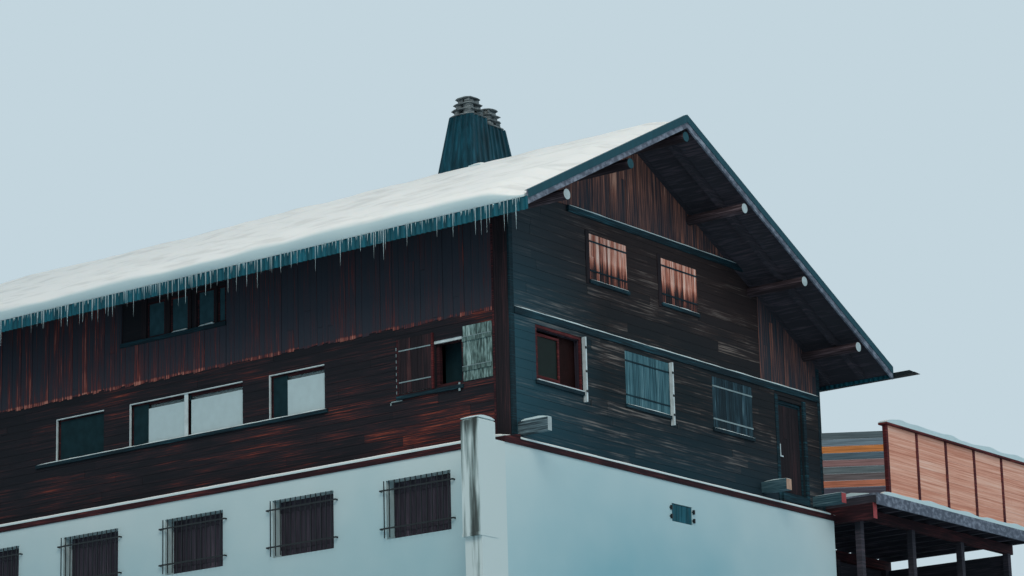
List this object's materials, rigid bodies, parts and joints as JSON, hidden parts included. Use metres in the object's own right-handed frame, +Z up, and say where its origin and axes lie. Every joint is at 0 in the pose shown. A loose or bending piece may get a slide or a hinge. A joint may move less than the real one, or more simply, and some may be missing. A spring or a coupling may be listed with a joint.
{
  "type": "alpine chalet",
  "caption": "Alpine chalet: white rendered masonry base, dark timber storeys, low snow-covered gable roof on round purlins, ribbed chimney stack and a screened terrace.",
  "frame": {"origin": "on the ground, plumb under the front left corner of the timber house", "axes": "+X along the gable front to the right, +Y back along the eaves, +Z up"},
  "size_m": [19.9477, 21.152, 11.776],
  "materials": {
    "render": "floated lime render, chalk white, stained near the ground",
    "old_larch": "old larch logs and planks, burnt dark brown by the sun",
    "grey_larch": "weathered grey larch, unpainted",
    "new_larch": "newer orange larch boards, oiled",
    "concrete": "cast concrete, bare",
    "roof_metal": "stove-enamelled sheet, dark teal, satin",
    "gutter_metal": "folded sheet, dark grey, satin",
    "snow": "settled snow, matt white",
    "iron": "wrought bars, painted near black",
    "glass": "window glass over pale curtains",
    "shutter_brown": "plank shutters, brown stain",
    "shutter_pale": "plank shutters, pale grey-green paint, worn",
    "frame_paint": "window frames, white paint gone chalky",
    "trim_teal": "trim boards, dark teal stain",
    "cap_stone": "split stone plates, pale grey"
  },
  "bodies": {
    "root": {"base_wall_front": "render", "base_wall_left": "render", "base_wall_right": "render", "base_wall_back": "render", "wing_pier": "render", "ground_floor": "concrete", "ledge_boards": "old_larch", "side_wall_left_lower": "old_larch", "side_wall_left_upper": "old_larch", "side_wall_right": "old_larch", "side_wall_right_upper": "old_larch", "gable_back_upper": "old_larch", "terrace_door": "shutter_brown", "gable_front_lower": "old_larch", "gable_front_upper": "old_larch", "gable_back": "old_larch", "first_floor": "old_larch", "attic_floor": "old_larch", "purlins": "grey_larch", "rafters": "old_larch", "roof_deck": "old_larch", "roof_sheets": "roof_metal", "barge_boards": "grey_larch", "barge_flashing": "roof_metal", "eave_fascia": "roof_metal", "gutter": "gutter_metal", "roof_snow_left": "snow", "roof_snow_right": "snow", "chimney_stack": "roof_metal", "chimney_caps": "cap_stone", "side_window_frames": "frame_paint", "side_window_glass": "glass", "window_sills": "trim_teal", "side_shutters": "shutter_pale", "base_shutters": "shutter_brown", "base_grilles": "iron", "gable_window_frames": "shutter_brown", "gable_shutters": "shutter_pale", "folded_shutters": "frame_paint", "upper_door": "shutter_brown", "belt_boards": "trim_teal", "corner_boards": "trim_teal", "beam_ends": "grey_larch", "terrace_deck": "grey_larch", "terrace_joists": "old_larch", "terrace_beams": "old_larch", "terrace_posts": "old_larch", "terrace_fascia": "grey_larch", "screen_frame": "shutter_brown", "screen_panels": "new_larch", "plank_fence": "grey_larch", "terrace_boarding": "old_larch", "door_step": "trim_teal"}
  },
  "joints": []
}
